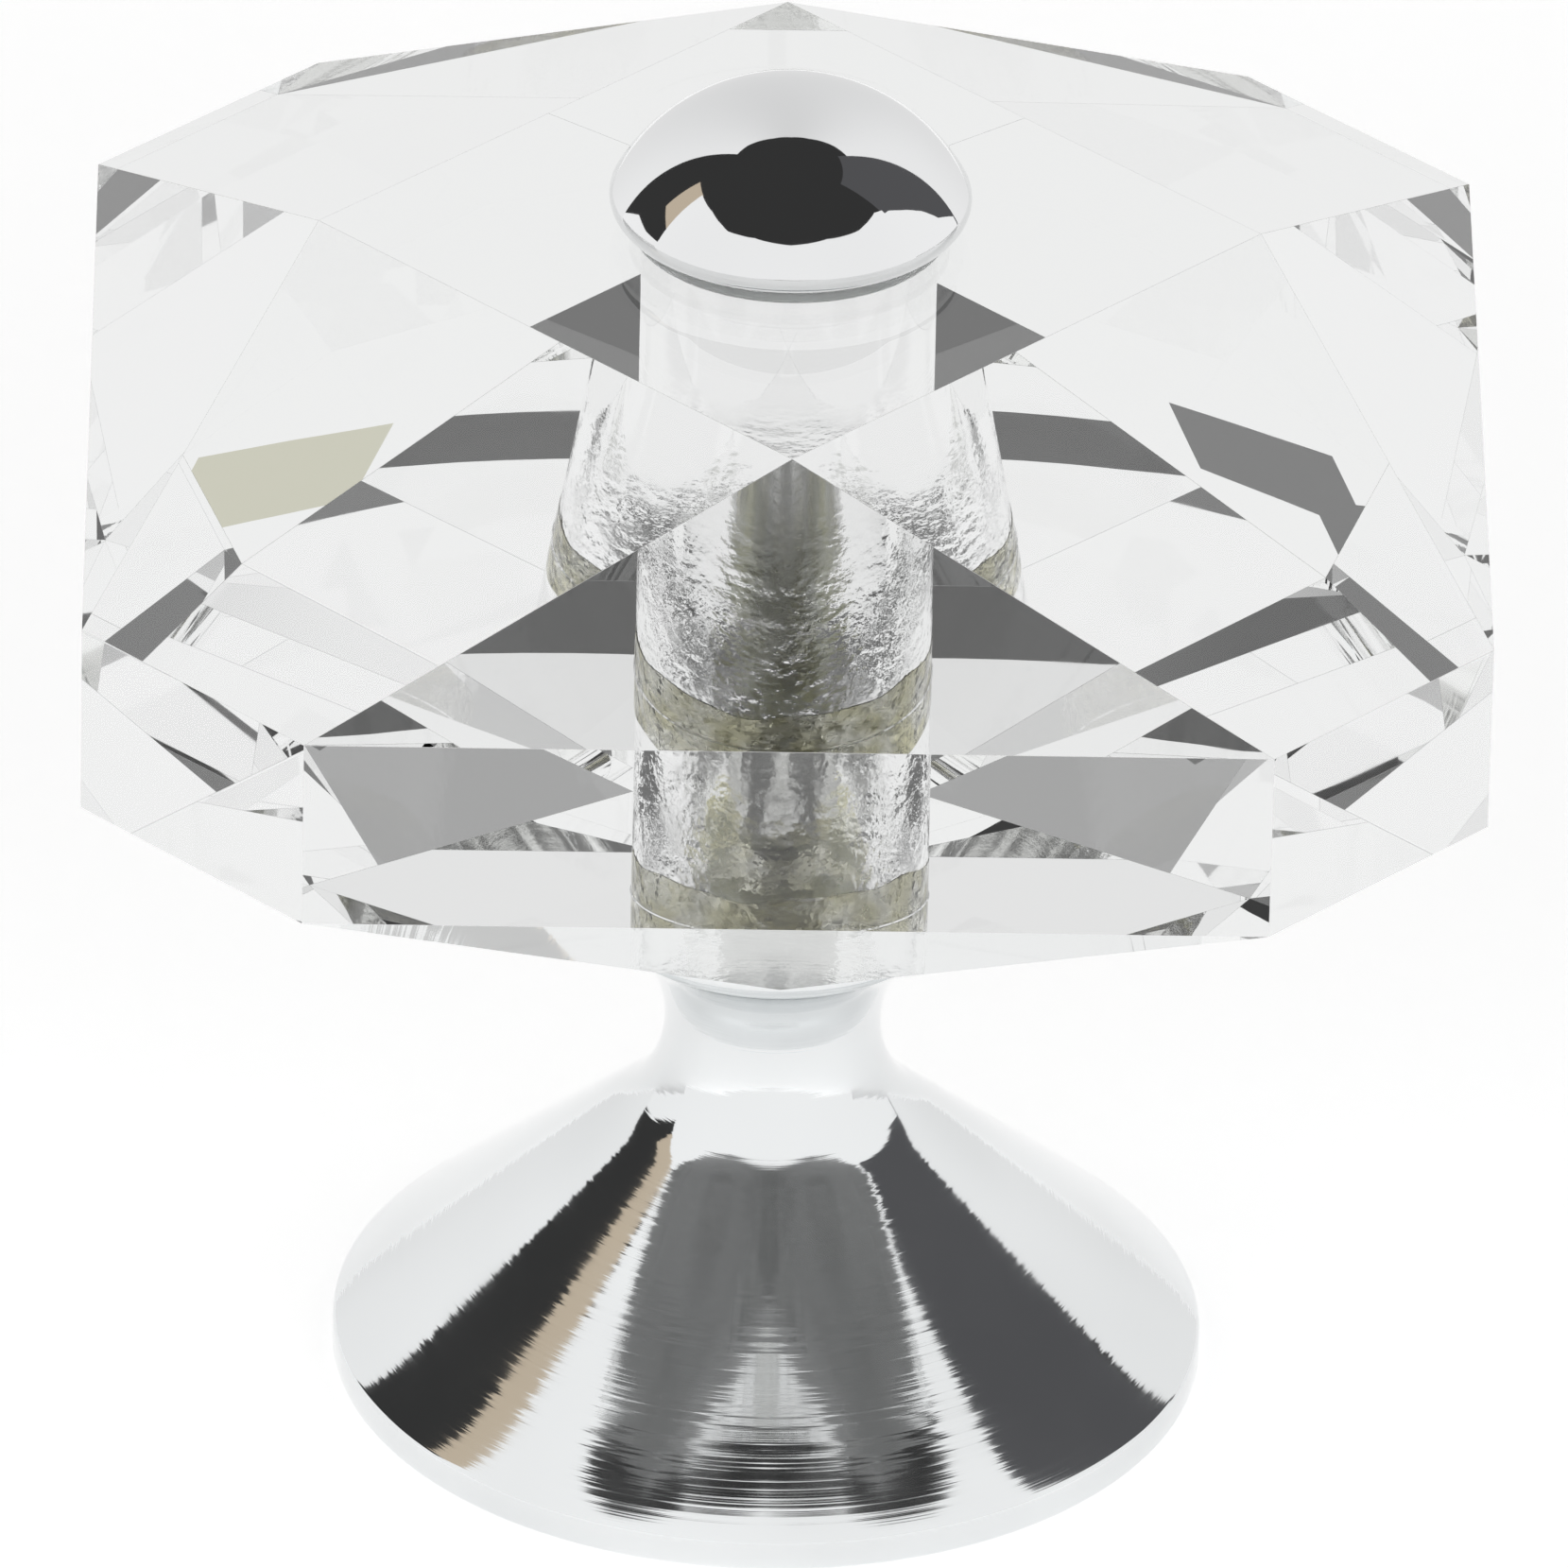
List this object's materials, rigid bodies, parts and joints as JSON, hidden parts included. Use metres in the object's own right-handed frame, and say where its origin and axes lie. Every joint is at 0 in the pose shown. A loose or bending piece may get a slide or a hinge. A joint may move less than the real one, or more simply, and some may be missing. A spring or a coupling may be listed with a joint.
{
  "type": "furniture knob",
  "caption": "Furniture knob: a thick square facet-cut crystal on a turned trumpet-shaped chrome foot, with a domed chrome cap on a bolt through the crystal.",
  "frame": {"origin": "centre of the foot's mounting face", "axes": "+Z along the knob's axis away from the door it is mounted on; X and Y square to the crystal's flat sides"},
  "size_m": [0.04, 0.04, 0.0417],
  "materials": {
    "foot_chrome": "bright chrome plate over fine lathe-turning rings",
    "cap_chrome": "bright smooth chrome plate",
    "crystal": "clear cut crystal with polished facets and a ground bore",
    "clear_plastic": "clear soft plastic",
    "adhesive": "cured olive-yellow adhesive",
    "bolt_steel": "bright turned steel"
  },
  "bodies": {
    "root": {"foot_stem": "foot_chrome", "seat_washer": "clear_plastic", "crystal_head": "crystal", "bore_adhesive": "adhesive", "tie_bolt": "bolt_steel", "cap_washer": "clear_plastic", "dome_cap": "cap_chrome"}
  },
  "joints": []
}
